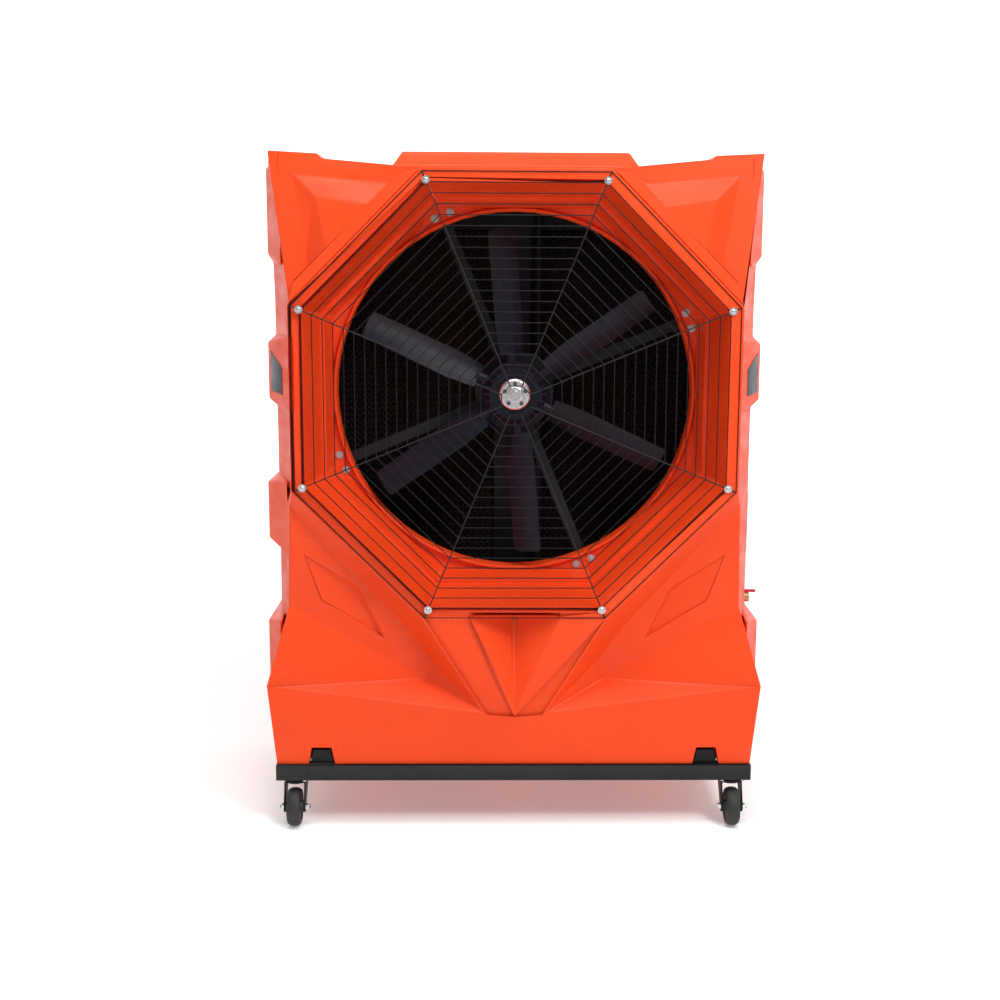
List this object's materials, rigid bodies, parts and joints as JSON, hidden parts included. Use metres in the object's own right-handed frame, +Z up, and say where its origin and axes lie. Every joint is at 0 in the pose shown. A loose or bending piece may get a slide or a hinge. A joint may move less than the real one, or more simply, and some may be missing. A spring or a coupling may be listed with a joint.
{
  "type": "evaporative cooler",
  "caption": "Portable evaporative cooler: moulded housing with an octagonal fan outlet behind a wire guard, rear wet pads, water tank and a castored base frame.",
  "frame": {"origin": "centre of the bounding box on the floor, between the wheels", "axes": "+Z up, the air outlet faces -Y, +X to the right seen from the front"},
  "size_m": [1.312, 0.798, 1.735],
  "materials": {
    "shell": "orange rotomoulded polyethylene, satin with a fine orange-peel grain",
    "frame_paint": "black paint, satin, worn at the edges",
    "guard_wire": "black powder coat on steel wire",
    "screws": "zinc-plated steel",
    "black_plastic": "black moulded plastic, satin",
    "blade_plastic": "black glass-filled nylon, slightly glossy",
    "zinc": "zinc-plated pressed steel",
    "steel": "turned steel",
    "wheel_rubber": "dark rubber tread on a black hub",
    "motor_paint": "dark grey enamel",
    "pad_cellulose": "dark brown corrugated cellulose",
    "pipe": "off-white pipe",
    "brass": "plain brass",
    "red_plastic": "red moulded plastic"
  },
  "bodies": {
    "cabinet": {"housing": "shell", "base_frame": "frame_paint", "hold_down_left": "black_plastic", "hold_down_right": "black_plastic", "air_nozzle": "shell", "front_guard": "guard_wire", "motor_mount": "frame_paint", "motor_body": "motor_paint", "pad_frame": "black_plastic", "cooling_pad_left": "pad_cellulose", "cooling_pad_right": "pad_cellulose", "rear_grille": "guard_wire", "water_header": "black_plastic", "riser_pipe": "black_plastic", "pump_body": "black_plastic", "inlet_valve": "brass", "float_valve": "brass", "drain_plug": "black_plastic", "control_panel": "black_plastic", "cable_gland": "black_plastic", "caster_plate_fl": "zinc", "caster_plate_fr": "zinc", "caster_plate_rl": "zinc", "caster_plate_rr": "zinc", "guard_screw_1": "screws", "guard_screw_2": "screws", "guard_screw_3": "screws", "guard_screw_4": "screws", "guard_screw_5": "screws", "guard_screw_6": "screws", "guard_screw_7": "screws", "guard_screw_8": "screws"},
    "fan": {"motor_shaft": "steel", "hub_front": "blade_plastic", "hub_rear": "blade_plastic", "hub_cap": "steel", "fan_blade_1": "blade_plastic", "fan_blade_2": "blade_plastic", "fan_blade_3": "blade_plastic", "fan_blade_4": "blade_plastic", "fan_blade_5": "blade_plastic", "fan_blade_6": "blade_plastic"},
    "inlet_lever": {"inlet_lever": "red_plastic"},
    "speed_knob": {"speed_knob": "black_plastic"},
    "power_switch": {"power_switch": "red_plastic"},
    "pump_switch": {"pump_switch": "black_plastic"},
    "float_arm": {"float_arm": "pipe"},
    "fork_fl": {"caster_fork_fl": "frame_paint", "caster_axle_fl": "steel"},
    "wheel_fl": {"caster_wheel_fl": "wheel_rubber"},
    "fork_fr": {"caster_fork_fr": "frame_paint", "caster_axle_fr": "steel"},
    "wheel_fr": {"caster_wheel_fr": "wheel_rubber"},
    "fork_rl": {"caster_fork_rl": "frame_paint", "caster_axle_rl": "steel"},
    "wheel_rl": {"caster_wheel_rl": "wheel_rubber"},
    "fork_rr": {"caster_fork_rr": "frame_paint", "caster_axle_rr": "steel"},
    "wheel_rr": {"caster_wheel_rr": "wheel_rubber"}
  },
  "joints": [
    {"name": "fan_spin", "type": "hinge", "parent": "cabinet", "child": "fan", "pos_m": [0, -0.174, 1.122], "axis": [0, 1, 0], "continuous": true},
    {"name": "caster_swivel_fl", "type": "hinge", "parent": "cabinet", "child": "fork_fl", "pos_m": [-0.574, -0.317, 0.116], "axis": [0, 0, 1], "continuous": true},
    {"name": "wheel_spin_fl", "type": "hinge", "parent": "fork_fl", "child": "wheel_fl", "pos_m": [-0.574, -0.349, 0.05], "axis": [1, 0, 0], "continuous": true},
    {"name": "caster_swivel_fr", "type": "hinge", "parent": "cabinet", "child": "fork_fr", "pos_m": [0.574, -0.317, 0.116], "axis": [0, 0, 1], "continuous": true},
    {"name": "wheel_spin_fr", "type": "hinge", "parent": "fork_fr", "child": "wheel_fr", "pos_m": [0.574, -0.349, 0.05], "axis": [1, 0, 0], "continuous": true},
    {"name": "caster_swivel_rl", "type": "hinge", "parent": "cabinet", "child": "fork_rl", "pos_m": [-0.574, 0.329, 0.116], "axis": [0, 0, 1], "continuous": true},
    {"name": "wheel_spin_rl", "type": "hinge", "parent": "fork_rl", "child": "wheel_rl", "pos_m": [-0.574, 0.297, 0.05], "axis": [1, 0, 0], "continuous": true},
    {"name": "caster_swivel_rr", "type": "hinge", "parent": "cabinet", "child": "fork_rr", "pos_m": [0.574, 0.329, 0.116], "axis": [0, 0, 1], "continuous": true},
    {"name": "wheel_spin_rr", "type": "hinge", "parent": "fork_rr", "child": "wheel_rr", "pos_m": [0.574, 0.297, 0.05], "axis": [1, 0, 0], "continuous": true},
    {"name": "inlet_lever_turn", "type": "hinge", "parent": "cabinet", "child": "inlet_lever", "pos_m": [0.63, -0.149, 0.5823], "axis": [0, 0, 1], "range_deg": [0, 90]},
    {"name": "speed_knob_turn", "type": "hinge", "parent": "cabinet", "child": "speed_knob", "pos_m": [0.5983, -0.106, 0.781], "axis": [1, 0, 0], "range_deg": [0, 270]},
    {"name": "power_switch_rock", "type": "hinge", "parent": "cabinet", "child": "power_switch", "pos_m": [0.6065, -0.052, 0.781], "axis": [0, 1, 0], "range_deg": [0, 14]},
    {"name": "pump_switch_rock", "type": "hinge", "parent": "cabinet", "child": "pump_switch", "pos_m": [0.6065, -0.018, 0.781], "axis": [0, 1, 0], "range_deg": [0, 14]},
    {"name": "float_arm_lift", "type": "hinge", "parent": "cabinet", "child": "float_arm", "pos_m": [0.509, -0.149, 0.537], "axis": [0, 1, 0], "range_deg": [0, 40]}
  ]
}
